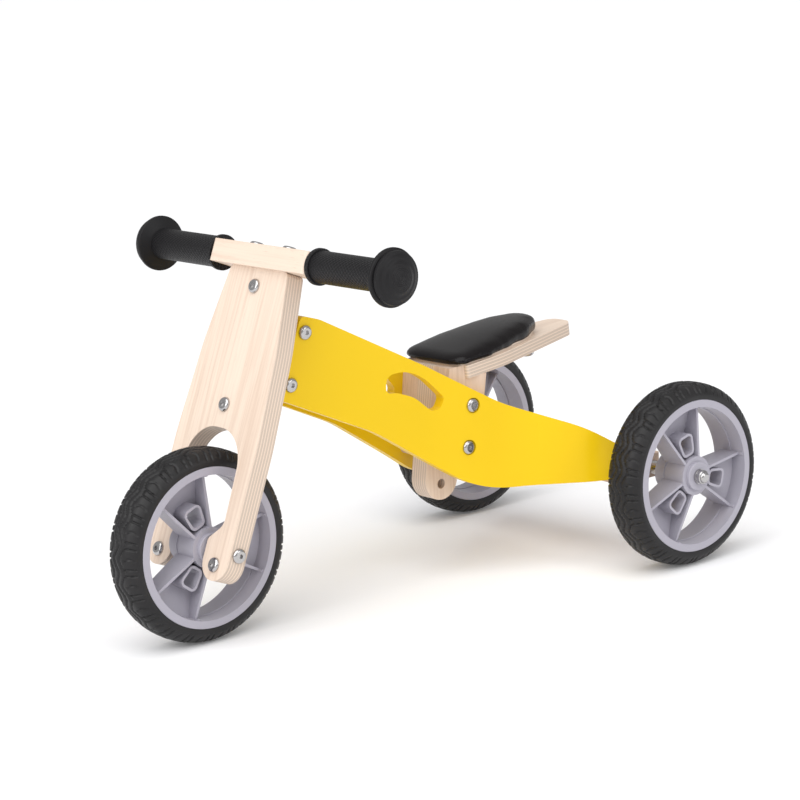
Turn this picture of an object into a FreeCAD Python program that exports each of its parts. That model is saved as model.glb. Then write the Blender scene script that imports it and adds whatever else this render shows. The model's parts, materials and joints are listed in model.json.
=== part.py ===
import FreeCAD, Part
import math
import os
import Sketcher
from types import SimpleNamespace

# A small wooden ride-on balance bike on three wheels, in millimetres.
# X runs across (rider's left is +X), Y runs along (the bike faces -Y), Z is up.
# The floor is Z = 0 and the origin is under the middle of the wheelbase.

Vector = FreeCAD.Vector
Placement = FreeCAD.Placement
Rotation = FreeCAD.Rotation

doc = FreeCAD.newDocument("balance_bike")

# ---------------------------------------------------------------- driving sizes
SIZES = [
    # overall
    ("wheelbase", "442", "front axle to rear axle"),
    ("wheel_radius", "85", "outside of the tyre, also the axle height"),
    ("rear_half_track", "150", "middle of the bike to the middle of a rear wheel"),
    ("rake", "22.2", "lean of the steering axis, degrees"),
    ("post_lean", "8.5", "lean of the seat post, degrees"),
    ("seat_slope", "5", "rise of the seat board to the rear, degrees"),
    # fits
    ("running_fit", "0.05", "radial play of a turning bore on its rod"),
    ("side_play", "0.2", "end play between turning pieces"),
    ("soft_gap", "0.3", "air left round the soft pad"),
    # rods and fasteners
    ("rod_radius", "4", "axles, steering rod and sleeve nuts"),
    ("bush_wall", "1.95", "wall of the nylon bushes"),
    ("bolt_radius", "2.5", "machine screws inside the sleeve nuts"),
    ("wood_screw_radius", "2", "wood screws"),
    ("head_radius", "6.5", "button heads"),
    ("head_height", "3.3", "button heads"),
    ("socket_radius", "2.3", "hexagon socket, across corners / 2"),
    ("washer_thickness", "1.8", ""),
    ("washer_radius", "7", ""),
    # side panels
    ("panel_thickness", "10", "bent plywood"),
    ("panel_half_head", "25", "outside half width at the steering head"),
    ("panel_half_waist", "37.2", "outside half width ahead of the post"),
    ("panel_half_flare", "55.1", "outside half width where the flare starts"),
    ("panel_half_tail", "105.5", "outside half width of the straight tails"),
    ("panel_front", "25", "front edge, behind the fork's middle plane"),
    # steering
    ("fork_thickness", "18", "fork plate, front to back"),
    ("crown_gap", "17", "tyre to the arch of the fork"),
    ("crown", "=wheel_radius + crown_gap", "arch of the fork above the axle"),
    ("steering_offset", "22", "steering rod behind the fork's middle plane"),
    ("head_low", "=crown + 34", "underside of the head block"),
    ("head_tall", "76", "height of the head block"),
    ("flange_thickness", "1.8", "flange of a steering bush"),
    ("flange_radius", "9", "flange of a steering bush"),
    ("bush_length", "14", "steering bush inside the head block"),
    ("lower_lug_tall", "24", ""),
    ("upper_lug_tall", "26", ""),
    ("lug_gap", "=flange_thickness + side_play", "head block to a lug"),
    ("fork_top", "=head_low + head_tall + lug_gap + upper_lug_tall + 3", "top of the plate"),
    ("leg_radius", "17.5", "rounded foot of a fork leg"),
    ("leg_middle", "40.5", "middle of a fork leg from the centre"),
    # handlebar
    ("bar_thickness", "20", ""),
    ("bar_depth", "30", ""),
    ("bar_half_middle", "66.5", "half length of the flat middle"),
    ("bar_half_length", "165", "half length with the round ends"),
    ("bar_end_radius", "10", "round ends inside the grips"),
    ("bar_level", "=fork_top + bar_thickness / 2", "middle of the bar above the axle"),
    ("grip_radius", "14", "tube of the grip"),
    ("grip_end_radius", "25", "mushroom end of the grip"),
    ("grip_half_span", "175", "middle of the bike to the tip of a grip"),
    # seat
    ("post_offset", "48.5", "lower post hole, behind the middle of the wheelbase"),
    ("post_rise", "1.7", "lower post hole above the axles"),
    ("post_thickness", "20", "across the bike"),
    ("post_depth", "38", "along the bike"),
    ("post_pitch", "38.7", "step of the height holes"),
    ("seat_ahead", "11.5", "front end of the board behind the lower post hole"),
    ("seat_rise", "112.3", "top of the board above the lower post hole"),
    ("board_thickness", "12", ""),
    ("board_half_width", "40", "front end of the board"),
    ("board_length", "158", ""),
    ("base_thickness", "3", "plywood under the pad"),
    ("pad_thickness", "18", "foam pad at its rear end"),
    ("pad_nose", "8", "foam pad at its front edge"),
    ("pad_edge", "6", "rounding of the upper edge of the pad"),
    # rear
    ("beam_tall", "22", ""),
    ("beam_depth", "30", "behind the tails"),
    ("beam_tenon", "22", "between the tails"),
    ("beam_half_length", "108", ""),
    # wheels
    ("rim_seat", "=wheel_radius - 19", "radius the tyre sits on"),
    ("rim_bore", "=rim_seat - 3.5", "inside of the drum"),
    ("rim_lip", "=wheel_radius - 14.4", "outside of the lips"),
    ("rim_half_width", "19", ""),
    ("tyre_half_width", "19.3", ""),
    ("hub_radius", "18", ""),
    ("hub_half_width", "17.5", ""),
    ("hub_half_span", "21", "over the hub caps"),
    ("cap_radius", "13.3", ""),
    ("rib_thickness", "2.5", ""),
]

sheet = doc.addObject("Spreadsheet::Sheet", "sizes")
for row, (name, value, note) in enumerate(SIZES, start=1):
    sheet.set(f"A{row}", name)
    sheet.set(f"B{row}", value)
    sheet.set(f"C{row}", note)
    sheet.setAlias(f"B{row}", name)
doc.recompute()
S = SimpleNamespace(**{name: float(sheet.get(name)) for name, _, _ in SIZES})

REAR_Y = S.wheelbase / 2
FRONT_Y = -S.wheelbase / 2

# ---------------------------------------------------------------- frames
# Every frame is a point (as sheet expressions) and a turn about X in degrees.
FRAMES = {
    "ground": ("0", "0", "0", 0),
    "fork": ("0", "-sizes.wheelbase / 2", "sizes.wheel_radius", -S.rake),
    "post": ("0", "sizes.post_offset", "sizes.wheel_radius + sizes.post_rise", -S.post_lean),
    "seat": (
        "0",
        "sizes.post_offset + sizes.seat_ahead",
        "sizes.wheel_radius + sizes.post_rise + sizes.seat_rise",
        S.seat_slope,
    ),
    "rear": ("0", "sizes.wheelbase / 2", "sizes.wheel_radius", 0),
}


def turned(y, z, degrees):
    """Turn a (y, z) pair about X."""
    a = math.radians(degrees)
    return y * math.cos(a) - z * math.sin(a), y * math.sin(a) + z * math.cos(a)


def at_fork(back, up):
    """Ground (y, z) of a point in the fork frame."""
    y, z = turned(back, up, -S.rake)
    return FRONT_Y + y, S.wheel_radius + z


def at_post(y, z):
    """Ground (y, z) of a point level with the lower post hole."""
    return S.post_offset + y, S.wheel_radius + S.post_rise + z


def along_post(back, up):
    """Ground (y, z) of a point in the leaning post frame."""
    return at_post(*turned(back, up, -S.post_lean))


def at_rear(y, z):
    """Ground (y, z) of a point beside the rear axle."""
    return REAR_Y + y, S.wheel_radius + z


def seat_in_post(y, z):
    """Post-frame (y, z) of a point given in the seat frame."""
    dy, dz = turned(y, z, S.seat_slope)
    return turned(S.seat_ahead + dy, S.seat_rise + dz, S.post_lean)


def place(item, frame):
    x, y, z, angle = FRAMES[frame]
    item.Placement = Placement(Vector(0, 0, 0), Rotation(Vector(1, 0, 0), angle))
    item.setExpression("Placement.Base.x", x)
    item.setExpression("Placement.Base.y", y)
    item.setExpression("Placement.Base.z", z)


# ---------------------------------------------------------------- drawing helpers
NODES = []


def new_body(label, frame="ground"):
    item = doc.addObject("PartDesign::Body", label)
    item.Label = label
    place(item, frame)
    NODES.append(item)
    return item


def new_sketch(body, plane, offset="0"):
    """Empty sketch on an origin plane of the body, moved along its normal."""
    flat = [o for o in body.Origin.OriginFeatures if o.Role == plane][0]
    item = body.newObject("Sketcher::SketchObject", "outline")
    item.AttachmentSupport = [(flat, "")]
    item.MapMode = "FlatFace"
    item.setExpression("AttachmentOffset.Base.z", offset)
    return item


def draw(sketch, points):
    """Closed outline through (x, y) or (x, y, radius) corners."""
    corners = []
    for i, point in enumerate(points):
        here = Vector(point[0], point[1], 0)
        before = Vector(points[i - 1][0], points[i - 1][1], 0)
        after = Vector(points[(i + 1) % len(points)][0], points[(i + 1) % len(points)][1], 0)
        if len(point) == 2:
            corners.append((here, here, None))
            continue
        one = (before - here).normalize()
        two = (after - here).normalize()
        half = one.getAngle(two) / 2
        middle = (one + two).normalize()
        reach = point[2] / math.tan(half)
        start = here + one * reach
        end = here + two * reach
        near = here + middle * (point[2] / math.sin(half) - point[2])
        corners.append((start, end, Part.Arc(start, near, end)))
    for i, (start, end, arc) in enumerate(corners):
        if arc:
            sketch.addGeometry(arc, False)
        following = corners[(i + 1) % len(corners)][0]
        if end.distanceToPoint(following) > 1e-6:
            sketch.addGeometry(Part.LineSegment(end, following), False)


def circle(sketch, x, y, radius):
    """Circle whose radius follows a sheet expression."""
    index = sketch.addGeometry(Part.Circle(Vector(x, y, 0), Vector(0, 0, 1), 1), False)
    rule = sketch.addConstraint(Sketcher.Constraint("Radius", index, 1))
    sketch.setExpression(f"Constraints[{rule}]", radius)


def pad(body, sketch, length, side="One side"):
    item = body.newObject("PartDesign::Pad", "pad")
    item.Profile = sketch
    item.SideType = side
    item.setExpression("Length", length)
    sketch.Visibility = False
    body.Tip = item
    return item


def cut(body, sketch, length=None, back=False):
    """Pocket both ways right through, or one way by a length."""
    item = body.newObject("PartDesign::Pocket", "pocket")
    item.Profile = sketch
    if length is None:
        item.SideType = "Symmetric"
        item.Length = 2000
    else:
        item.Reversed = back
        item.setExpression("Length", length)
    sketch.Visibility = False
    body.Tip = item
    return item


def spin(body, sketch, kind="PartDesign::Revolution"):
    item = body.newObject(kind, "turn")
    item.Profile = sketch
    item.ReferenceAxis = (sketch, ["H_Axis"])
    item.Angle = 360
    sketch.Visibility = False
    body.Tip = item
    return item


def outside(sketch, points, reach=1500):
    """Outline inside a big square, so that a pocket keeps only the outline."""
    draw(sketch, [(-reach, -reach), (reach, -reach), (reach, reach), (-reach, reach)])
    draw(sketch, points)


def rod(label, frame, plane, centre, radii, start, length, side=1):
    """Round bar or tube standing on a plane; side -1 puts it on the other half."""
    body = new_body(label, frame)
    offset = start if side > 0 else f"-({start}) - ({length})"
    sketch = new_sketch(body, plane, offset)
    for radius in radii:
        circle(sketch, centre[0], centre[1], radius)
    pad(body, sketch, length)
    return body


def mirrored(points):
    """Right half outline (from bottom to top) closed with its mirror image."""
    return points + [(-p[0], *p[1:]) for p in reversed(points)]


# ---------------------------------------------------------------- fasteners
def button_head():
    """Domed head on Z = 0 with a hexagon socket."""
    r = S.head_radius
    top = S.head_height
    foot = Vector(r, 0, 0.3 * top)
    crest = Vector(0.5 * r, 0, top)
    dome = Part.Arc(foot, Vector(0.86 * r, 0, 0.8 * top), crest)
    line = Part.makePolygon([crest, Vector(0, 0, top), Vector(0, 0, 0), Vector(r, 0, 0), foot])
    face = Part.Face(Part.Wire(Part.__sortEdges__([dome.toShape()] + line.Edges)))
    head = face.revolve(Vector(0, 0, 0), Vector(0, 0, 1), 360)
    corners = [
        Vector(S.socket_radius * math.cos(k * math.pi / 3), S.socket_radius * math.sin(k * math.pi / 3), 0)
        for k in range(7)
    ]
    socket = Part.Face(Part.makePolygon(corners)).extrude(Vector(0, 0, top))
    socket.translate(Vector(0, 0, 0.45 * top))
    return head.cut(socket)


def screw(radius, length, bore=0, bore_depth=0):
    """Button head with a shaft below it; a bore makes it a sleeve nut."""
    shaft = Part.makeCylinder(radius, length, Vector(0, 0, -length))
    item = button_head().fuse(shaft)
    if bore:
        item = item.cut(Part.makeCylinder(bore, bore_depth, Vector(0, 0, -length)))
    return item


def fasteners(label, shapes, frame="ground"):
    """Group of equal fasteners as one node: (shape, position, head direction)."""
    placed = []
    for shape, position, direction in shapes:
        copy = shape.copy()
        copy.Placement = Placement(Vector(*position), Rotation(Vector(0, 0, 1), Vector(*direction)))
        placed.append(copy)
    item = doc.addObject("Part::Feature", label)
    item.Label = label
    item.Shape = Part.makeCompound(placed)
    place(item, frame)
    NODES.append(item)
    return item


# ---------------------------------------------------------------- side panels
PLAN_START = at_fork(0, S.crown)[0]
PLAN_END = at_rear(-15, 0)[0]
PLAN = [
    (S.panel_half_head, PLAN_START),
    (S.panel_half_waist, S.post_offset - 25.5),
    (S.panel_half_flare, S.post_offset + 52.4),
    (S.panel_half_tail, at_rear(-50.8, 0)[0]),
    (S.panel_half_tail, PLAN_END),
]
BENDS = [216, 108, -77]


def plan_path(inset):
    """Plan line of a panel face, moved in by the inset, with its bend radii."""
    ways = []
    for one, two in zip(PLAN, PLAN[1:]):
        way = Vector(two[0] - one[0], two[1] - one[1], 0).normalize()
        ways.append(Vector(-way.y, way.x, 0))
    path = []
    for i, (x, y) in enumerate(PLAN):
        before = ways[max(i - 1, 0)]
        after = ways[min(i, len(ways) - 1)]
        step = (before + after) * (inset / (1 + before.dot(after)))
        point = (x + step.x, y + step.y)
        if 0 < i < len(PLAN) - 1:
            bend = BENDS[i - 1]
            point += (bend + inset if bend > 0 else -bend - inset,)
        path.append(point)
    return path


def outside_half(y):
    """Outside half width of the panels at y, ahead of the flare."""
    (x0, y0), (x1, y1), (x2, y2) = PLAN[:3]
    if y < y1:
        return x0 + (x1 - x0) * (y - y0) / (y1 - y0)
    return x1 + (x2 - x1) * (y - y1) / (y2 - y1)


HEAD_MIDDLE = S.panel_front + 8.5
HEAD_BOLTS = [at_fork(HEAD_MIDDLE, S.head_low + up) for up in (16, 63)]
POST_BOLTS = [along_post(0, S.post_pitch * k) for k in (1, 2)]
TAIL_SCREW = at_rear(-26, 0)

PANEL_SIDE = [
    (*at_fork(S.panel_front, S.head_low + 1), 5),
    (*at_post(-93.5, 68.8), 150),
    (*at_post(19.5, -5.2), 110),
    (*at_rear(-46, -4.6), 60),
    at_rear(-15, -10),
    at_rear(-15, 13),
    (*at_rear(-70, 48.5), 150),
    (*at_post(39.5, 74.8), 200),
    (*at_post(-34.5, 119.3), 300),
    (*at_fork(S.panel_front + 20, S.head_low + S.head_tall + 1.5), 40),
    (*at_fork(S.panel_front, S.head_low + S.head_tall), 6),
]
HAND_SLOT = [
    (*at_post(-80, 101.5), 5),
    (*at_post(-79, 117.5), 9),
    (*at_post(-55, 119.5), 45),
    (*at_post(-35, 107), 45),
    (*at_post(-16.5, 88), 6),
    (*at_post(-21.5, 78.3), 5),
    (*at_post(-31, 77.8), 6),
    (*at_post(-49, 93.5), 40),
    (*at_post(-68, 100.5), 20),
]


def side_panel(label, side):
    body = new_body(label)
    plan = new_sketch(body, "XY_Plane")
    outer = plan_path(0)
    inner = plan_path(S.panel_thickness)
    draw(plan, [(side * p[0], *p[1:]) for p in outer + inner[::-1]])
    pad(body, plan, "sizes.wheel_radius * 5")
    shape = new_sketch(body, "YZ_Plane")
    outside(shape, PANEL_SIDE)
    cut(body, shape)
    openings = new_sketch(body, "YZ_Plane")
    draw(openings, HAND_SLOT)
    for y, z in HEAD_BOLTS + POST_BOLTS:
        circle(openings, y, z, "sizes.rod_radius")
    circle(openings, *TAIL_SCREW, "sizes.wood_screw_radius")
    cut(body, openings)
    for y, z in HEAD_BOLTS + POST_BOLTS:
        face = side * bolt_seat(y)
        seat = new_sketch(body, "YZ_Plane", f"{face}")
        circle(seat, y, z, "sizes.head_radius + 0.5")
        cut(body, seat, "20", back=side > 0)
    return body


def bolt_seat(y):
    """Height of the spot face under a bolt head on the sloping panel."""
    return round(outside_half(y - S.head_radius) + 0.3, 3)


side_panel("side_panel_left", 1)
side_panel("side_panel_right", -1)

# ---------------------------------------------------------------- steering head
head = new_body("head_block")
left_face = plan_path(S.panel_thickness)
plan = new_sketch(head, "XY_Plane")
draw(plan, mirrored([left_face[0], (left_face[1][0], left_face[1][1])]))
pad(head, plan, "sizes.wheel_radius * 5")
shape = new_sketch(head, "YZ_Plane")
HEAD_FRONT = S.steering_offset - 10
HEAD_BACK = HEAD_MIDDLE + 14
outside(shape, [
    at_fork(HEAD_FRONT, S.head_low),
    (*at_fork(HEAD_BACK, S.head_low), 8),
    (*at_fork(HEAD_BACK, S.head_low + S.head_tall), 8),
    at_fork(HEAD_FRONT, S.head_low + S.head_tall),
])
cut(head, shape)
ACROSS_ROD = Placement(Vector(0, FRONT_Y, 0), Rotation(Vector(1, 0, 0), -S.rake))
nose = new_sketch(head, "XY_Plane", "sizes.wheel_radius")
nose.AttachmentOffset = ACROSS_ROD
draw(nose, [
    (40, HEAD_FRONT - 20),
    (40, HEAD_FRONT + 12),
    (S.panel_half_head - S.panel_thickness, HEAD_FRONT + 12),
    (7, HEAD_FRONT, 4),
    (-7, HEAD_FRONT, 4),
    (S.panel_thickness - S.panel_half_head, HEAD_FRONT + 12),
    (-40, HEAD_FRONT + 12),
    (-40, HEAD_FRONT - 20),
])
cut(head, nose)
bore = new_sketch(head, "XY_Plane", "sizes.wheel_radius")
bore.AttachmentOffset = ACROSS_ROD
circle(bore, 0, S.steering_offset, "sizes.rod_radius + sizes.bush_wall")
cut(head, bore)
holes = new_sketch(head, "YZ_Plane")
for y, z in HEAD_BOLTS:
    circle(holes, y, z, "sizes.rod_radius")
cut(head, holes)

AXIS = (0, S.steering_offset)
for label, start, flange in (
    ("steering_bush_lower", "sizes.head_low", "sizes.head_low - sizes.flange_thickness"),
    (
        "steering_bush_upper",
        "sizes.head_low + sizes.head_tall - sizes.bush_length",
        "sizes.head_low + sizes.head_tall",
    ),
):
    bush = rod(
        label, "fork", "XY_Plane", AXIS,
        ("sizes.rod_radius + sizes.bush_wall", "sizes.rod_radius + sizes.running_fit"),
        start, "sizes.bush_length",
    )
    disc = new_sketch(bush, "XY_Plane", flange)
    circle(disc, *AXIS, "sizes.flange_radius")
    circle(disc, *AXIS, "sizes.rod_radius + sizes.running_fit")
    pad(bush, disc, "sizes.flange_thickness")

# ---------------------------------------------------------------- fork
plate = new_body("fork_plate", "fork")
shape = new_sketch(plate, "XZ_Plane")
foot_out = S.leg_middle + S.leg_radius
foot_in = S.leg_middle - S.leg_radius
foot_low = -8.5 - S.leg_radius
draw(shape, mirrored([
    (S.leg_middle - 4, S.crown, 34),
    (S.leg_middle - 1, 22, 12),
    (foot_in, 8, 5),
    (foot_in, foot_low, 0.99 * S.leg_radius),
    (foot_out, foot_low, 0.99 * S.leg_radius),
    (foot_out - 0.5, S.crown - 10, 200),
    (S.leg_middle + 10.8, S.head_low + 38, 200),
    (S.leg_middle - 1, S.fork_top, 5),
]))
pad(plate, shape, "sizes.fork_thickness", "Symmetric")
bore = new_sketch(plate, "YZ_Plane")
circle(bore, 0, 0, "sizes.rod_radius")
cut(plate, bore)

LOWER_LUG = S.head_low - S.lug_gap - S.lower_lug_tall / 2
UPPER_LUG = S.head_low + S.head_tall + S.lug_gap + S.upper_lug_tall / 2
FOOT_SCREW = -12.4
screws = new_sketch(plate, "XZ_Plane")
for x, up in (
    (0, LOWER_LUG), (0, UPPER_LUG), (S.leg_middle, FOOT_SCREW), (-S.leg_middle, FOOT_SCREW),
):
    circle(screws, x, up, "sizes.wood_screw_radius")
cut(plate, screws)
BAR_SCREW_X = 23
BAR_SCREW_LONG = S.bar_thickness + 22
pilots = new_sketch(plate, "XY_Plane", "sizes.fork_top")
for x in (BAR_SCREW_X, -BAR_SCREW_X):
    circle(pilots, x, 0, "sizes.wood_screw_radius")
cut(plate, pilots, "22")

for label, start, tall in (
    ("lower_lug", "sizes.head_low - sizes.lug_gap - sizes.lower_lug_tall", "sizes.lower_lug_tall"),
    ("upper_lug", "sizes.head_low + sizes.head_tall + sizes.lug_gap", "sizes.upper_lug_tall"),
):
    lug = new_body(label, "fork")
    shape = new_sketch(lug, "XY_Plane", start)
    draw(shape, [
        (-14, S.fork_thickness / 2),
        (14, S.fork_thickness / 2),
        (12, S.steering_offset + 11, 10),
        (-12, S.steering_offset + 11, 10),
    ])
    circle(shape, *AXIS, "sizes.rod_radius")
    pad(lug, shape, tall)
    pilot = new_sketch(lug, "XZ_Plane")
    circle(pilot, 0, LOWER_LUG if label == "lower_lug" else UPPER_LUG, "sizes.wood_screw_radius")
    cut(lug, pilot, "sizes.steering_offset - sizes.rod_radius - 1", back=False)

rod(
    "steering_rod", "fork", "XY_Plane", AXIS, ("sizes.rod_radius",),
    "sizes.head_low - sizes.lug_gap - sizes.lower_lug_tall",
    "sizes.head_tall + 2 * sizes.lug_gap + sizes.lower_lug_tall + sizes.upper_lug_tall",
)

FACE = S.fork_thickness / 2
lug_screw = screw(S.wood_screw_radius, S.steering_offset - S.rod_radius - 1 + FACE)
fasteners("lug_screws", [(lug_screw, (0, -FACE, up), (0, -1, 0)) for up in (LOWER_LUG, UPPER_LUG)], "fork")
foot_screw = screw(S.wood_screw_radius, S.fork_thickness - 3)
fasteners(
    "foot_screws",
    [(foot_screw, (side * S.leg_middle, -FACE, FOOT_SCREW), (0, -1, 0)) for side in (1, -1)],
    "fork",
)

# ---------------------------------------------------------------- handlebar
bar = new_body("handlebar", "fork")
shape = new_sketch(bar, "XY_Plane", "sizes.fork_top")
half = S.bar_half_middle
deep = S.bar_depth / 2
draw(shape, [(-half, -deep, 4), (half, -deep, 4), (half, deep, 4), (-half, deep, 4)])
pad(bar, shape, "sizes.bar_thickness")
ends = new_sketch(bar, "YZ_Plane")
circle(ends, 0, S.bar_level, "sizes.bar_end_radius")
pad(bar, ends, "2 * sizes.bar_half_length", "Symmetric")
holes = new_sketch(bar, "XY_Plane", "sizes.fork_top")
for x in (BAR_SCREW_X, -BAR_SCREW_X):
    circle(holes, x, 0, "sizes.wood_screw_radius")
cut(bar, holes)
bar_screw = screw(S.wood_screw_radius, BAR_SCREW_LONG)
fasteners(
    "bar_screws",
    [(bar_screw, (x, 0, S.bar_level + S.bar_thickness / 2), (0, 0, 1)) for x in (BAR_SCREW_X, -BAR_SCREW_X)],
    "fork",
)


def grip(label, side):
    """Rubber grip turned about the bar: flange, tube, two lips and a domed end."""
    body = new_body(label, "fork")
    profile = new_sketch(body, "XY_Plane", "sizes.bar_level")
    tip = S.grip_half_span
    end = S.grip_end_radius
    inside = S.bar_end_radius + 0.1
    draw(profile, [(side * p[0], *p[1:]) for p in [
        (half, inside),
        (half, S.grip_radius + 2, 1),
        (half + 4.5, S.grip_radius + 2, 1),
        (half + 4.5, S.grip_radius),
        (tip - 17, S.grip_radius),
        (tip - 13.5, end, 1.2),
        (tip - 10.3, end, 1.2),
        (tip - 9.3, end - 3.5),
        (tip - 8.3, end - 2, 1),
        (tip - 5, end - 2.5, 1),
        (tip - 0.5, 10, 18),
        (tip, 0),
        (S.bar_half_length, 0),
        (S.bar_half_length, inside),
    ]])
    spin(body, profile)


grip("grip_left", 1)
grip("grip_right", -1)

# ---------------------------------------------------------------- seat
post = new_body("seat_post", "post")
shape = new_sketch(post, "YZ_Plane")
half_post = S.post_depth / 2
board_end = seat_in_post(0, 0)
board_heel = seat_in_post(0, -S.board_thickness)
front_top = seat_in_post((-half_post - board_end[0]) * 1.03, 0)
rear_top = seat_in_post(half_post - board_heel[0], -S.board_thickness)
draw(shape, [
    (-half_post, 4 - half_post, 0.99 * half_post),
    (half_post, 4 - half_post, 0.99 * half_post),
    rear_top,
    board_heel,
    board_end,
    front_top,
])
circle(shape, 0, 0, "sizes.rod_radius + 0.6")
circle(shape, 0, S.post_pitch, "sizes.rod_radius")
circle(shape, 0, 2 * S.post_pitch, "sizes.rod_radius")
pad(post, shape, "sizes.post_thickness", "Symmetric")


def post_spacer(label, side):
    """Block between the post and a side panel."""
    body = new_body(label)
    low = 0.6 * S.post_pitch
    tops = [along_post(*rear_top), along_post(*board_heel), along_post(*board_end), along_post(*front_top)]
    outline = [
        (*along_post(-half_post, low), 8),
        (*along_post(half_post, low), 8),
    ] + tops
    edge = S.post_thickness / 2
    plan = new_sketch(body, "XY_Plane")
    room = [(edge, PLAN_START), (edge, PLAN_END)] + plan_path(S.panel_thickness)[::-1]
    draw(plan, [(side * p[0], *p[1:]) for p in room])
    pad(body, plan, "sizes.wheel_radius * 5")
    shape = new_sketch(body, "YZ_Plane")
    outside(shape, outline)
    cut(body, shape)
    holes = new_sketch(body, "YZ_Plane")
    for y, z in POST_BOLTS:
        circle(holes, y, z, "sizes.rod_radius")
    cut(body, holes)


post_spacer("post_spacer_left", 1)
post_spacer("post_spacer_right", -1)

board = new_body("seat_board", "seat")
shape = new_sketch(board, "XY_Plane", "-sizes.board_thickness")
draw(shape, mirrored([
    (S.board_half_width, 0, 3),
    (S.board_half_width - 2, 0.3 * S.board_length, 150),
    (0.35 * S.board_half_width, S.board_length, 12),
]))
pad(board, shape, "sizes.board_thickness")

PAD_FRONT = -16
PAD_REAR = 119
PAD_WIDE = 44


def shield(inset):
    """Saddle outline: broad, slightly bowed front, tapering to a round back."""
    wide = PAD_WIDE - inset
    front = PAD_FRONT + inset
    return mirrored([
        (0.6 * wide, front, 28),
        (wide, front + 8, 10),
        (wide, front + 50, 130),
        (0.68 * wide, PAD_REAR - 28, 50),
        (0.28 * wide, PAD_REAR - inset, 12 - inset / 2),
    ])


base = new_body("saddle_base", "seat")
shape = new_sketch(base, "XY_Plane")
draw(shape, shield(7))
pad(base, shape, "sizes.base_thickness")
SEAT_SCREWS = [(x, y) for x in (22, -22) for y in (40, 90)]
screws = new_sketch(base, "XY_Plane")
for x, y in SEAT_SCREWS:
    circle(screws, x, y, "sizes.wood_screw_radius")
cut(base, screws, "sizes.base_thickness - 0.5", back=True)
screws = new_sketch(board, "XY_Plane")
for x, y in SEAT_SCREWS:
    circle(screws, x, y, "sizes.wood_screw_radius")
cut(board, screws)
seat_screw = screw(S.wood_screw_radius, S.board_thickness + S.base_thickness - 1)
SEAT_HEADS = [(seat_screw, (x, y, -S.board_thickness), (0, 0, -1)) for x, y in SEAT_SCREWS]
fasteners("seat_screws", SEAT_HEADS, "seat")

cushion = new_body("saddle_pad", "seat")
shape = new_sketch(cushion, "XY_Plane", "sizes.soft_gap")
draw(shape, shield(0))
pad(cushion, shape, "sizes.pad_thickness")
low = (PAD_FRONT - 5, S.soft_gap + S.pad_nose)
high = (PAD_REAR + 5, S.soft_gap + S.pad_thickness)
wedge = new_sketch(cushion, "YZ_Plane")
draw(wedge, [low, high, (high[0], 60), (low[0], 60)])
block = cut(cushion, wedge)
doc.recompute()
crown_face = max(block.Shape.Faces, key=lambda f: f.CenterOfMass.z)
rim_edges = [
    f"Edge{i}" for i, edge in enumerate(block.Shape.Edges, start=1)
    if any(edge.isSame(other) for other in crown_face.Edges)
]
soften = cushion.newObject("PartDesign::Fillet", "fillet")
soften.Base = (block, rim_edges)
soften.setExpression("Radius", "sizes.pad_edge")
cushion.Tip = soften
recess = new_sketch(cushion, "XY_Plane")
draw(recess, shield(7 - S.soft_gap))
cut(cushion, recess, "sizes.base_thickness + sizes.soft_gap", back=True)

# ---------------------------------------------------------------- bolts through the frame
SLEEVE_GAP = 1


def bolt_pair(sleeve_label, bolt_label, places, frame="ground"):
    """Sleeve nut from the right, machine screw from the left: (y, z, half grip)."""
    sleeves = []
    bolts = []
    for y, z, reach in places:
        whole = 2 * reach - SLEEVE_GAP
        depth = min(24, reach)
        sleeves.append((screw(S.rod_radius, whole, S.bolt_radius, depth), (-reach, y, z), (-1, 0, 0)))
        bolts.append((screw(S.bolt_radius, depth - 2), (reach, y, z), (1, 0, 0)))
    fasteners(sleeve_label, sleeves, frame)
    fasteners(bolt_label, bolts, frame)


bolt_pair("head_sleeves", "head_bolts", [(y, z, bolt_seat(y)) for y, z in HEAD_BOLTS])
bolt_pair("post_sleeves", "post_bolts", [(y, z, bolt_seat(y)) for y, z in POST_BOLTS])
bolt_pair("front_axle", "front_axle_screw", [(0, 0, foot_out)], "fork")

# ---------------------------------------------------------------- rear
beam = new_body("axle_beam", "rear")
plan = new_sketch(beam, "XY_Plane", "-sizes.beam_tall / 2")
tenon = S.panel_half_tail - S.panel_thickness
draw(plan, mirrored([
    (tenon - 1, -15 - S.beam_tenon),
    (tenon, -15 - S.beam_tenon / 2),
    (tenon, -15),
    (S.beam_half_length, -15, 2),
    (S.beam_half_length, S.beam_depth - 15, 4),
]))
pad(beam, plan, "sizes.beam_tall")
bore = new_sketch(beam, "YZ_Plane")
circle(bore, 0, 0, "sizes.rod_radius")
cut(beam, bore)
SCREW_REACH = 30
for side in (1, -1):
    start = "sizes.panel_half_tail - 30" if side > 0 else "-sizes.panel_half_tail"
    hole = new_sketch(beam, "YZ_Plane", start)
    circle(hole, -26, 0, "sizes.wood_screw_radius")
    cut(beam, hole, "30", back=True)
tail_screw = screw(S.wood_screw_radius, SCREW_REACH)
fasteners(
    "tail_screws",
    [(tail_screw, (side * S.panel_half_tail, *TAIL_SCREW), (side, 0, 0)) for side in (1, -1)],
)

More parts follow.
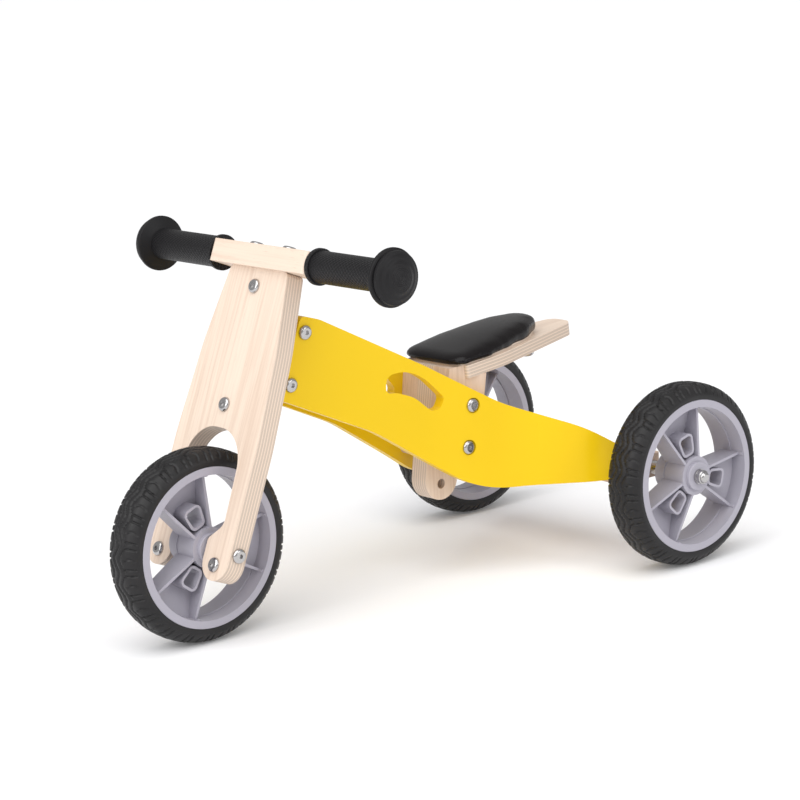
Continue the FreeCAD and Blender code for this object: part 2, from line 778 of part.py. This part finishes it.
OUTER = "sizes.rear_half_track + sizes.hub_half_span + sizes.side_play"
INNER = "sizes.rear_half_track - sizes.hub_half_span - sizes.side_play"
outer = S.rear_half_track + S.hub_half_span + S.side_play
rod("rear_axle", "rear", "YZ_Plane", (0, 0), ("sizes.rod_radius",), f"-({OUTER}) - 5", f"2 * ({OUTER}) + 10")
AROUND_ROD = "sizes.rod_radius"
for name, side in (("left", 1), ("right", -1)):
    rod(
        f"rear_spacer_{name}", "rear", "YZ_Plane", (0, 0), ("sizes.rod_radius + 2.5", AROUND_ROD),
        "sizes.beam_half_length", f"{INNER} - sizes.washer_thickness - sizes.beam_half_length", side,
    )
    rod(
        f"rear_inner_washer_{name}", "rear", "YZ_Plane", (0, 0), ("sizes.washer_radius", AROUND_ROD),
        f"{INNER} - sizes.washer_thickness", "sizes.washer_thickness", side,
    )
    rod(
        f"rear_outer_washer_{name}", "rear", "YZ_Plane", (0, 0), ("sizes.washer_radius", AROUND_ROD),
        OUTER, "sizes.washer_thickness", side,
    )
    rod(
        f"front_washer_{name}", "fork", "YZ_Plane", (0, 0), ("sizes.washer_radius", AROUND_ROD),
        "sizes.hub_half_span + sizes.side_play",
        "sizes.leg_middle - sizes.leg_radius - sizes.hub_half_span - sizes.side_play", side,
    )
    nut = new_body(f"axle_nut_{name}", "rear")
    profile = new_sketch(nut, "XY_Plane")
    face = outer + S.washer_thickness
    draw(profile, [(side * p[0], *p[1:]) for p in [
        (face, S.rod_radius),
        (face, S.head_radius),
        (face + 4, S.head_radius, 0.8),
        (face + 4.5, 5.4),
        (face + 7.5, 4.6, 3.2),
        (face + 7.5, 0),
        (outer + 5, 0),
        (outer + 5, S.rod_radius),
    ]])
    spin(nut, profile)


# ---------------------------------------------------------------- wheels
def fan(sketch, turn, inner, outer, inset=0, gap=False):
    """Spoke outline between two radii, or the window that follows it."""
    middle = math.radians(turn)
    side_low = 4.65 - inset * 1.065
    slope = 0.3676

    def angle(radius):
        a = 1 + slope ** 2
        b = 2 * side_low * slope
        along = (-b + math.sqrt(b * b - 4 * a * (side_low ** 2 - radius ** 2))) / (2 * a)
        return math.atan2(side_low + slope * along, along)

    def point(radius, theta):
        return Vector(radius * math.cos(theta), radius * math.sin(theta), 0)

    spans = []
    for radius in (inner, outer):
        theta = angle(radius)
        if gap:
            spans.append((middle + theta, middle + 2 * math.pi / 3 - theta))
        else:
            spans.append((middle - theta, middle + theta))
    (a0, a1), (b0, b1) = spans
    for r, t0, t1 in ((inner, a0, a1), (outer, b0, b1)):
        sketch.addGeometry(Part.Arc(point(r, t0), point(r, (t0 + t1) / 2), point(r, t1)), False)
    sketch.addGeometry(Part.LineSegment(point(inner, a0), point(outer, b0)), False)
    sketch.addGeometry(Part.LineSegment(point(inner, a1), point(outer, b1)), False)


def ring(sketch, turn, wall):
    """Rounded trapezoid around the hole in a spoke."""
    c = math.cos(math.radians(turn))
    s = math.sin(math.radians(turn))
    corners = [(22 - wall, -5 - wall), (38 + wall, -7.5 - wall), (38 + wall, 7.5 + wall), (22 - wall, 5 + wall)]
    draw(sketch, [(a * c - b * s, a * s + b * c, 3 + wall) for a, b in corners])


def mirror_x(points):
    """Profile drawn from inside to outside on +X and closed on -X."""
    return points + [(-p[0], *p[1:]) for p in reversed(points) if p[0]]


def wheel(name, frame, centre_x, outward, first_spoke):
    """Tyre, rim, hub caps and bush; outward is the side of the rim face."""

    def turned_part(label, profile):
        body = new_body(label, frame)
        body.setExpression("Placement.Base.x", centre_x)
        sketch = new_sketch(body, "XY_Plane")
        draw(sketch, [(outward * p[0], *p[1:]) for p in profile])
        spin(body, sketch)
        return body

    seat = S.rim_seat
    wide = S.tyre_half_width
    turned_part(f"{name}_tyre", mirror_x([
        (16.4, seat),
        (17, S.rim_lip + 0.1),
        (wide - 0.3, S.rim_lip + 0.1),
        (wide, S.wheel_radius - 7.5, 5),
        (12.5, S.wheel_radius, 8),
    ]))
    rim = turned_part(f"{name}_rim", mirror_x([
        (16.4, seat),
        (17, S.rim_lip),
        (S.rim_half_width, S.rim_lip, 0.8),
        (S.rim_half_width, S.rim_bore + 1.1),
        (0, S.rim_bore),
    ]))
    solid = new_sketch(rim, "XY_Plane")
    web = S.rim_seat - 1
    draw(solid, [(outward * x, r) for x, r in (
        (-S.hub_half_width, 6), (S.hub_half_width, 6), (S.hub_half_width, S.hub_radius),
        (-6, S.hub_radius), (4.5, web), (1.5, web), (-9, S.hub_radius), (-S.hub_half_width, S.hub_radius),
    )])
    spin(rim, solid)
    ribs = new_sketch(rim, "YZ_Plane", "-8" if outward > 0 else "-17.3")
    for k in range(3):
        turn = first_spoke + 120 * k
        fan(ribs, turn, 16, web)
        fan(ribs, turn, 17, web - 1, S.rib_thickness)
    pad(rim, ribs, "25.3")
    rings = new_sketch(rim, "YZ_Plane", "-7.5" if outward > 0 else "-14.5")
    for k in range(3):
        ring(rings, first_spoke + 120 * k, 2.3)
    pad(rim, rings, "22")
    windows = new_sketch(rim, "YZ_Plane")
    for k in range(3):
        fan(windows, first_spoke + 120 * k, S.hub_radius + 0.6, S.rim_bore - 0.6, inset=0.1, gap=True)
        ring(windows, first_spoke + 120 * k, 0)
    cut(rim, windows)
    slope = new_sketch(rim, "XY_Plane")
    draw(slope, [(outward * x, r) for x, r in (
        (17, S.hub_radius + 0.3), (12.5, S.rim_bore - 0.2), (24, S.rim_bore - 0.2), (24, S.hub_radius + 0.3),
    )])
    spin(rim, slope, "PartDesign::Groove")
    bore = S.rod_radius + S.running_fit
    turned_part(f"{name}_hub_cap_outer", [
        (12, bore + 0.3), (12, 6), (S.hub_half_width, 6), (S.hub_half_width, S.cap_radius),
        (S.hub_half_span, S.cap_radius, 1), (S.hub_half_span, bore + 0.3),
    ])
    turned_part(f"{name}_hub_cap_inner", [
        (-12, bore + 0.3), (-12, 6), (-S.hub_half_width, 6), (-S.hub_half_width, S.cap_radius),
        (-S.hub_half_span, S.cap_radius, 1), (-S.hub_half_span, bore + 0.3),
    ])
    turned_part(f"{name}_bush", [(-12, bore), (12, bore), (12, 6), (-12, 6)])


wheel("front", "fork", "0", 1, 112 + S.rake)
wheel("rear_left", "rear", "sizes.rear_half_track", 1, 105)
wheel("rear_right", "rear", "-sizes.rear_half_track", -1, 75)

# ---------------------------------------------------------------- check and write
doc.recompute()
for item in doc.Objects:
    if "Invalid" in item.State or "Error" in item.State:
        raise RuntimeError(f"{item.Label} did not build: {item.State}")
for item in NODES:
    if item.Shape.isNull() or not item.Shape.isValid() or not item.Shape.Solids:
        raise RuntimeError(f"{item.Label} is not a valid solid")

os.makedirs("parts", exist_ok=True)
for item in NODES:
    item.Shape.exportStep(f"parts/{item.Label}.step")
print(len(NODES), "parts written")
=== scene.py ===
import bpy
import json
import math
from mathutils import Matrix, Vector


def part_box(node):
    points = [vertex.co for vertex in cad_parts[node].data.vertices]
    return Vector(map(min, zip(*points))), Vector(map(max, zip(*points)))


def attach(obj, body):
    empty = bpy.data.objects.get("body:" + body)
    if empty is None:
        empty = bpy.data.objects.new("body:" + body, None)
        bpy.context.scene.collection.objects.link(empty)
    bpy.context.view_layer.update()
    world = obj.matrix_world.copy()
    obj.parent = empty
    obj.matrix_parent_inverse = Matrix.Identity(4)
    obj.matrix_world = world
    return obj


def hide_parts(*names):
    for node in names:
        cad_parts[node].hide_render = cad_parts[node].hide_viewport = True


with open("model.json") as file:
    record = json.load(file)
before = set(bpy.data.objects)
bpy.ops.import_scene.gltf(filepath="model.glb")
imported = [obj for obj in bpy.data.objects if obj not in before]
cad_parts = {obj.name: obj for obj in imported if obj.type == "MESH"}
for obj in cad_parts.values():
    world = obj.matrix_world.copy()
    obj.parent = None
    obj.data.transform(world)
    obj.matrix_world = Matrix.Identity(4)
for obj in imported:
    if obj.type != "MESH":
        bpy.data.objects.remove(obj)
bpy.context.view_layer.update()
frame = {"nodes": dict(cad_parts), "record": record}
nodes = frame["nodes"]

FORK_LEAN = math.radians(22.2)
WHEEL_RADIUS = 0.085
FRONT_AXLE = Vector((0, -0.221, WHEEL_RADIUS))
REAR_Y = 0.221
REAR_X = 0.150
BAR_LEVEL = 0.253
FORK_NORMAL = Vector((0, math.cos(FORK_LEAN), -math.sin(FORK_LEAN)))
FORK_UP = Vector((0, math.sin(FORK_LEAN), math.cos(FORK_LEAN)))
SEAT_TILT = math.radians(5)
SEAT_ORIGIN = Vector((0, 0.060, 0.199))
SEAT_BACK = Vector((0, math.cos(SEAT_TILT), math.sin(SEAT_TILT)))
SEAT_UP = Vector((0, -math.sin(SEAT_TILT), math.cos(SEAT_TILT)))
X, Y, Z = Vector((1, 0, 0)), Vector((0, 1, 0)), Vector((0, 0, 1))


# ---------------------------------------------------------------- materials
class Shader:
    """A node material with one Principled shader, and short ways to add nodes to it."""

    def __init__(self, name, colour, rough, metal=0.0, coat=0.0, specular=0.5):
        self.material = bpy.data.materials.new(name)
        self.material.use_nodes = True
        self.tree = self.material.node_tree
        self.surface = self.tree.nodes["Principled BSDF"]
        self.set("Base Color", (*colour, 1))
        self.set("Roughness", rough)
        self.set("Metallic", metal)
        self.set("Coat Weight", coat)
        self.set("Coat Roughness", 0.25)
        self.set("Specular IOR Level", specular)
        self.place = self.add("ShaderNodeTexCoord").outputs["Object"]
        self.facing = self.tree.nodes[-1].outputs["Normal"]

    def set(self, socket, value):
        self.surface.inputs[socket].default_value = value

    def add(self, kind, **settings):
        node = self.tree.nodes.new(kind)
        for key, value in settings.items():
            setattr(node, key, value)
        return node

    def link(self, source, target):
        self.tree.links.new(source, target)

    def maths(self, operation, first, second=0.0, third=None):
        node = self.add("ShaderNodeMath", operation=operation)
        for socket, value in zip(node.inputs, (first, second, third)):
            if value is None:
                continue
            if isinstance(value, (int, float)):
                socket.default_value = value
            else:
                self.link(value, socket)
        return node.outputs[0]

    def along(self, axis, source=None):
        """Distance along an axis of the row frame, in metres."""
        node = self.add("ShaderNodeVectorMath", operation="DOT_PRODUCT")
        self.link(source or self.place, node.inputs[0])
        node.inputs[1].default_value = axis
        return node.outputs["Value"]

    def grain_space(self, along, across, through, stretch):
        node = self.add("ShaderNodeCombineXYZ")
        for socket, axis, scale in zip(node.inputs, (along, across, through), stretch):
            self.link(self.maths("MULTIPLY", self.along(axis), scale), socket)
        return node.outputs[0]

    def noise(self, vector, scale, detail=3.0, distortion=0.0):
        node = self.add("ShaderNodeTexNoise")
        self.link(vector, node.inputs["Vector"])
        node.inputs["Scale"].default_value = scale
        node.inputs["Detail"].default_value = detail
        node.inputs["Distortion"].default_value = distortion
        return node.outputs["Fac"]

    def ramp(self, factor, stops):
        node = self.add("ShaderNodeValToRGB")
        self.link(factor, node.inputs[0])
        elements = node.color_ramp.elements
        while len(elements) < len(stops):
            elements.new(0.5)
        for element, (position, colour) in zip(elements, stops):
            element.position = position
            element.color = (*colour, 1)
        return node.outputs["Color"]

    def mix(self, factor, first, second, blend="MIX"):
        node = self.add("ShaderNodeMix", data_type="RGBA", blend_type=blend)
        for socket, value in ((node.inputs[0], factor), (node.inputs[6], first), (node.inputs[7], second)):
            if isinstance(value, (int, float)):
                socket.default_value = value
            elif isinstance(value, tuple):
                socket.default_value = (*value, 1)
            else:
                self.link(value, socket)
        return node.outputs[2]

    def colour(self, source):
        self.link(source, self.surface.inputs["Base Color"])

    def bump(self, height, distance, strength=1.0):
        node = self.add("ShaderNodeBump")
        node.inputs["Strength"].default_value = strength
        node.inputs["Distance"].default_value = distance
        self.link(height, node.inputs["Height"])
        self.link(node.outputs["Normal"], self.surface.inputs["Normal"])


def painted(name, colour):
    shader = Shader(name, colour, 0.38, coat=0.06, specular=0.25)
    speck = shader.noise(shader.place, 900, 2)
    broad = shader.noise(shader.place, 9, 2)
    shader.colour(shader.ramp(broad, [
        (0.3, tuple(0.965 * c for c in colour)),
        (0.7, colour),
    ]))
    shader.bump(speck, 0.00006)
    return shader.material


def wood(name, light, dark, along, across, through, layers=None):
    """Lacquered birch. With layers, faces square to the plies show them as thin lines."""
    shader = Shader(name, light, 0.5, coat=0.05, specular=0.3)
    fibre = shader.noise(shader.grain_space(along, across, through, (9, 420, 420)), 1, 4, 0.3)
    bands = shader.noise(shader.grain_space(along, across, through, (3, 60, 60)), 1, 2, 0.8)
    tone = shader.maths("ADD", shader.maths("MULTIPLY", fibre, 0.55), shader.maths("MULTIPLY", bands, 0.45))
    face = shader.ramp(tone, [(0.36, dark), (0.52, light), (0.66, tuple(min(1, 1.05 * c) for c in light))])
    pores = shader.noise(shader.grain_space(along, across, through, (70, 1500, 1500)), 1, 1)
    pore_mask = shader.maths("GREATER_THAN", pores, 0.69)
    face = shader.mix(shader.maths("MULTIPLY", pore_mask, 0.22), face, tuple(0.62 * c for c in dark))
    if layers:
        depth = shader.maths("ADD", shader.along(through), shader.maths("MULTIPLY", bands, 0.0004))
        step = shader.maths("FRACT", shader.maths("DIVIDE", depth, layers))
        edge = shader.ramp(step, [
            (0.0, tuple(0.42 * c for c in dark)),
            (0.07, tuple(0.9 * c for c in light)),
            (0.46, light),
            (0.52, tuple(0.72 * c for c in dark)),
            (0.58, tuple(0.78 * c for c in light)),
            (0.95, tuple(0.74 * c for c in light)),
        ])
        end_on = shader.maths("ABSOLUTE", shader.along(through, shader.facing))
        is_edge = shader.maths("LESS_THAN", end_on, 0.6)
        face = shader.mix(is_edge, face, edge)
    shader.colour(face)
    shader.bump(fibre, 0.0001, 0.6)
    return shader.material


def tyre_rubber():
    shader = Shader("tyre rubber", (0.017, 0.016, 0.017), 0.45, specular=0.35)
    grain = shader.noise(shader.place, 1400, 2)
    shader.colour(shader.ramp(shader.noise(shader.place, 30, 2), [
        (0.3, (0.007, 0.0065, 0.007)), (0.7, (0.013, 0.012, 0.013)),
    ]))
    shader.bump(grain, 0.00012)
    return shader.material


def grip_rubber():
    """Diagonal weave on the tube, fine rings on the domed end."""
    shader = Shader("grip rubber", (0.008, 0.0075, 0.0085), 0.46, specular=0.25)
    out = shader.maths("ABSOLUTE", shader.along(X))
    forward = shader.maths("ADD", shader.along(FORK_NORMAL), -FRONT_AXLE.dot(FORK_NORMAL))
    upward = shader.maths("ADD", shader.along(FORK_UP), -FRONT_AXLE.dot(FORK_UP) - BAR_LEVEL)
    turn = shader.maths("ARCTAN2", forward, upward)
    pitch = shader.maths("MULTIPLY", out, 2 * math.pi / 0.0042)
    one = shader.maths("SINE", shader.maths("ADD", pitch, shader.maths("MULTIPLY", turn, 22)))
    two = shader.maths("SINE", shader.maths("SUBTRACT", pitch, shader.maths("MULTIPLY", turn, 22)))
    weave = shader.maths("MAXIMUM", one, two)
    radius = shader.maths("SQRT", shader.maths(
        "ADD", shader.maths("MULTIPLY", forward, forward), shader.maths("MULTIPLY", upward, upward)))
    rings = shader.maths("SINE", shader.maths("MULTIPLY", radius, 2 * math.pi / 0.0016))
    steps = shader.maths("SINE", shader.maths("MULTIPLY", radius, 2 * math.pi / 0.0055))
    on_dome = shader.maths("GREATER_THAN", out, 0.1665)
    near_middle = shader.maths("LESS_THAN", radius, 0.0105)
    on_tube = shader.maths("LESS_THAN", out, 0.156)
    height = shader.maths(
        "ADD",
        shader.maths("MULTIPLY", weave, on_tube),
        shader.maths("MULTIPLY", on_dome, shader.maths(
            "ADD", steps, shader.maths("MULTIPLY", rings, shader.maths("MULTIPLY", near_middle, 0.5)))),
    )
    shader.bump(height, 0.0003, 0.8)
    return shader.material


def leatherette():
    shader = Shader("leatherette", (0.006, 0.0045, 0.005), 0.24, specular=0.2)
    cells = shader.add("ShaderNodeTexVoronoi", feature="F1")
    cells.inputs["Scale"].default_value = 1100
    shader.link(shader.place, cells.inputs["Vector"])
    fine = shader.noise(shader.place, 240, 2)
    height = shader.maths("ADD", cells.outputs["Distance"], fine)
    shader.bump(height, 0.00008)
    return shader.material


def moulded(name, colour, rough):
    shader = Shader(name, colour, rough, specular=0.35)
    shader.bump(shader.noise(shader.place, 1800, 2), 0.00005)
    return shader.material


def steel():
    shader = Shader("bright steel", (0.48, 0.47, 0.47), 0.2, metal=1.0)
    shader.bump(shader.noise(shader.place, 700, 2), 0.00003)
    return shader.material


BIRCH = ((0.78, 0.635, 0.52), (0.69, 0.535, 0.425))
FORK_PLY = wood("fork plywood", *BIRCH, FORK_UP, X, FORK_NORMAL, 0.0030)
POST_PLY = wood("post plywood", *BIRCH, Z, Y, X, 0.0030)
SEAT_PLY = wood("seat plywood", *BIRCH, SEAT_BACK, X, SEAT_UP, 0.0030)
BAR_WOOD = wood("bar wood", *BIRCH, X, FORK_NORMAL, FORK_UP)
LUG_WOOD = wood("lug wood", (0.70, 0.54, 0.42), (0.58, 0.43, 0.32), X, FORK_NORMAL, FORK_UP)
# Painted shade: the head block and post spacers get a darker copy of the birch, standing in for the shade
# they sit in between the panels and under the saddle.
SHADED_BODY_WOOD = wood("body wood painted shade", (0.68, 0.52, 0.41), (0.56, 0.41, 0.31), Z, Y, X)
# Painted shade: the axle beam gets a darker copy of the birch, standing in for the shade it sits in beside
# the rear wheels.
SHADED_BEAM_WOOD = wood("beam wood painted shade", (0.66, 0.50, 0.39), (0.54, 0.39, 0.29), X, Y, Z)
FINISH = {
    "yellow_paint": painted("yellow paint", (0.85, 0.56, 0.001)),
    "tyre": tyre_rubber(),
    "rim_plastic": moulded("rim plastic", (0.39, 0.375, 0.43), 0.38),
    "nylon": moulded("nylon", (0.72, 0.70, 0.65), 0.45),
    "grip_rubber": grip_rubber(),
    "leatherette": leatherette(),
    "bright_steel": steel(),
}
WOODS = {
    "fork_plate": FORK_PLY,
    "seat_post": POST_PLY,
    "seat_board": SEAT_PLY,
    "saddle_base": SEAT_PLY,
    "handlebar": BAR_WOOD,
    "lower_lug": LUG_WOOD,
    "upper_lug": LUG_WOOD,
    "head_block": SHADED_BODY_WOOD,
    "post_spacer_left": SHADED_BODY_WOOD,
    "post_spacer_right": SHADED_BODY_WOOD,
    "axle_beam": SHADED_BEAM_WOOD,
}
SLOTS = {part["node"]: part["material_slot"] for part in frame["record"]["subparts"]}


def finish(piece, material):
    piece.data.materials.clear()
    piece.data.materials.append(material)


def smooth(piece, degrees):
    """Smooth shading with edges sharper than this kept."""
    sharp = math.radians(degrees)
    mesh = piece.data
    for face in mesh.polygons:
        face.use_smooth = True
    mesh.set_sharp_from_angle(angle=sharp)


for name, node in nodes.items():
    finish(node, WOODS.get(name) or FINISH[SLOTS[name]])


# ---------------------------------------------------------------- tyres with their tread
TREAD = [
    (0.0164, 0.0660), (0.0168, 0.0706), (0.0188, 0.0707), (0.0191, 0.0722), (0.01925, 0.0740),
    (0.0190, 0.0756), (0.0184, 0.0768), (0.0176, 0.0780), (0.0165, 0.0793), (0.0153, 0.0806),
    (0.0140, 0.0818), (0.0126, 0.0828), (0.0112, 0.0835), (0.0098, 0.0840), (0.0084, 0.0843),
    (0.0070, 0.0845), (0.0056, 0.0847), (0.0042, 0.0848), (0.0028, 0.08485), (0.0014, 0.0849),
]
TURNS = 900
BLOCKS = 22


def groove(value, width):
    """1 in the middle of a groove, falling to 0 at its edge."""
    return max(0.0, 1 - (abs(value) / width) ** 4) if abs(value) < width else 0.0


def tread_depth(across, turn):
    """How far the rubber is cut in at a place on the tread, in metres."""
    side = 1 if across >= 0 else -1
    block = (turn * BLOCKS / (2 * math.pi) + (0.5 if side < 0 else 0.0)) % 1.0
    reach = abs(across)
    wave = 0.0026 * math.sin(turn * BLOCKS)
    deepest = 0.9 * groove(across - wave, 0.0011)
    swirl = reach - 0.0068 - 0.0024 * math.sin(2 * math.pi * block)
    deepest = max(deepest, 0.8 * groove(swirl, 0.0010))
    if reach > 0.0095:
        for start in (0.10, 0.34):
            deepest = max(deepest, groove(block - start - 6 * (reach - 0.0095), 0.042))
        if reach < 0.0178:
            crescent = block - 0.72 - 900 * (reach - 0.0135) ** 2 * 6
            deepest = max(deepest, 0.7 * groove(crescent, 0.045))
    fade = min(1.0, max(0.0, (0.0190 - reach) / 0.0016))
    return 0.0016 * deepest * fade


def tyre(name, centre):
    """A ring with a cut tread, turned about the wheel's axle."""
    outline = TREAD + [(0.0, 0.0850)] + [(-x, r) for x, r in reversed(TREAD)]
    count = len(outline)
    points = []
    for step in range(TURNS):
        turn = 2 * math.pi * step / TURNS
        for x, r in outline:
            deep = tread_depth(x, turn) if r > 0.0735 else 0.0
            slope = min(1.0, abs(x) / 0.0193) ** 3
            width = x - math.copysign(deep * 0.55 * slope, x)
            radius = r - deep * (1 - 0.35 * slope)
            points.append((width, radius * math.cos(turn), radius * math.sin(turn)))
    faces = []
    for step in range(TURNS):
        here = step * count
        there = (step + 1) % TURNS * count
        for i in range(count):
            j = (i + 1) % count
            faces.append((here + i, here + j, there + j, there + i))
    mesh = bpy.data.meshes.new(name)
    mesh.from_pydata(points, [], faces)
    mesh.transform(Matrix.Translation(centre))
    piece = bpy.data.objects.new(name, mesh)
    bpy.context.collection.objects.link(piece)
    finish(piece, FINISH["tyre"])
    smooth(piece, 50)
    return piece


WHEELS = [
    ("front", FRONT_AXLE, "front_wheel"),
    ("rear_left", Vector((REAR_X, REAR_Y, WHEEL_RADIUS)), "rear_wheel_left"),
    ("rear_right", Vector((-REAR_X, REAR_Y, WHEEL_RADIUS)), "rear_wheel_right"),
]
for label, centre, body in WHEELS:
    piece = tyre(f"{label}_tread", centre)
    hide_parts(f"{label}_tyre")
    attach(piece, body)


# ---------------------------------------------------------------- saddle cover
def swell(piece, pressure, most):
    """Fills the closed cover with a short cloth run; no point moves further than most."""
    rest = [vertex.co.copy() for vertex in piece.data.vertices]
    cloth = piece.modifiers.new("cloth", "CLOTH")
    settings = cloth.settings
    settings.use_pressure = True
    settings.uniform_pressure_force = pressure
    settings.effector_weights.gravity = 0
    settings.tension_stiffness = 30
    settings.compression_stiffness = 30
    scene = bpy.context.scene
    for step in range(1, 21):
        scene.frame_set(step)
    shape = piece.evaluated_get(bpy.context.evaluated_depsgraph_get())
    moved = [vertex.co.copy() for vertex in shape.data.vertices]
    piece.modifiers.remove(cloth)
    scene.frame_set(1)
    for vertex, start, end in zip(piece.data.vertices, rest, moved):
        step = end - start
        if step.length > most:
            step *= most / step.length
        vertex.co = start + step


def apply_all(piece):
    bpy.context.view_layer.objects.active = piece
    for modifier in list(piece.modifiers):
        with bpy.context.temp_override(object=piece, active_object=piece):
            bpy.ops.object.modifier_apply(modifier=modifier.name)


def saddle_cover():
    source = nodes["saddle_pad"]
    piece = source.copy()
    piece.data = source.data.copy()
    piece.name = "saddle_cover"
    for key in list(piece.keys()):
        del piece[key]
    piece.parent = None
    piece.matrix_world = Matrix.Identity(4)
    bpy.context.collection.objects.link(piece)
    low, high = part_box("saddle_pad")
    middle = (Vector(low) + Vector(high)) / 2
    for vertex in piece.data.vertices:
        vertex.co.x *= 0.972
        vertex.co.y = middle.y + (vertex.co.y - middle.y) * 0.982
        vertex.co -= 0.0006 * SEAT_UP
    remesh = piece.modifiers.new("remesh", "REMESH")
    remesh.mode = "VOXEL"
    remesh.voxel_size = 0.0028
    apply_all(piece)
    swell(piece, 4.0, 0.0012)
    for vertex in piece.data.vertices:
        height = (vertex.co - SEAT_ORIGIN).dot(SEAT_UP)
        if height < 0.0006:
            vertex.co += (0.0006 - height) * SEAT_UP
    relax = piece.modifiers.new("relax", "SMOOTH")
    relax.factor = 0.5
    relax.iterations = 40
    subdivide = piece.modifiers.new("subdivide", "SUBSURF")
    subdivide.levels = 1
    subdivide.render_levels = 1
    apply_all(piece)
    half = (high[1] - low[1]) / 2
    for vertex in piece.data.vertices:
        height = (vertex.co - SEAT_ORIGIN).dot(SEAT_UP)
        round_x = max(0.0, 1 - (vertex.co.x / 0.044) ** 2)
        round_y = max(0.0, 1 - ((vertex.co.y - middle.y) / half) ** 2)
        share = min(1.0, max(0.0, (height - 0.004) / 0.006))
        vertex.co += 0.004 * share * round_x * round_y * SEAT_UP
    finish(piece, FINISH["leatherette"])
    smooth(piece, 80)
    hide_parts("saddle_pad")
    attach(piece, "frame")


saddle_cover()


# ---------------------------------------------------------------- floor, light and camera
def floor_material():
    shader = Shader("floor", (0.93, 0.93, 0.94), 0.9, specular=0.0)
    shader.set("Emission Color", (1, 1, 1, 1))
    shader.set("Emission Strength", 0.07)
    return shader.material


bpy.ops.mesh.primitive_plane_add(size=60, location=(0, 0, -0.0003))
floor = bpy.context.object
floor.name = "floor"
finish(floor, floor_material())

world = bpy.data.worlds.new("studio")
bpy.context.scene.world = world
world.use_nodes = True
world.node_tree.nodes["Background"].inputs["Color"].default_value = (1, 1, 1, 1)
world.node_tree.nodes["Background"].inputs["Strength"].default_value = 0.52


def soft_box(name, place, target, size, power):
    data = bpy.data.lights.new(name, "AREA")
    data.shape = "RECTANGLE"
    data.size, data.size_y = size
    data.energy = power
    lamp = bpy.data.objects.new(name, data)
    bpy.context.collection.objects.link(lamp)
    lamp.location = place
    lamp.rotation_euler = (Vector(target) - Vector(place)).to_track_quat("-Z", "Y").to_euler()


sky = bpy.data.lights.new("overhead", "SUN")
sky.energy = 1.75
sky.angle = math.radians(60)
sun = bpy.data.objects.new("overhead", sky)
sun.rotation_euler = (Vector((-0.35, 0.45, -1))).to_track_quat("-Z", "Y").to_euler()
bpy.context.collection.objects.link(sun)
soft_box("front box", (0.4, -2.2, 1.1), (0, 0, 0.15), (1.6, 1.2), 16)
soft_box("side box", (2.4, 0.6, 1.2), (0, 0, 0.12), (1.4, 1.4), 13)

camera_data = bpy.data.cameras.new("camera")
camera_data.lens = 119.69
camera_data.sensor_width = 36
camera = bpy.data.objects.new("camera", camera_data)
bpy.context.collection.objects.link(camera)
EYE = Vector((1.81168, -1.49652, 0.68107))
AIM = Vector((-0.1773, 0.1601, 0.1206))
ROLL = -0.0493
ahead = (AIM - EYE).normalized()
right = ahead.cross(Z).normalized()
upward = right.cross(ahead)
axis_x = right * math.cos(ROLL) + upward * math.sin(ROLL)
axis_y = upward * math.cos(ROLL) - right * math.sin(ROLL)
turned = Matrix((axis_x, axis_y, -ahead)).transposed().to_4x4()
camera.matrix_world = Matrix.Translation(EYE) @ turned
bpy.context.scene.camera = camera
bpy.context.scene.view_settings.view_transform = "Standard"
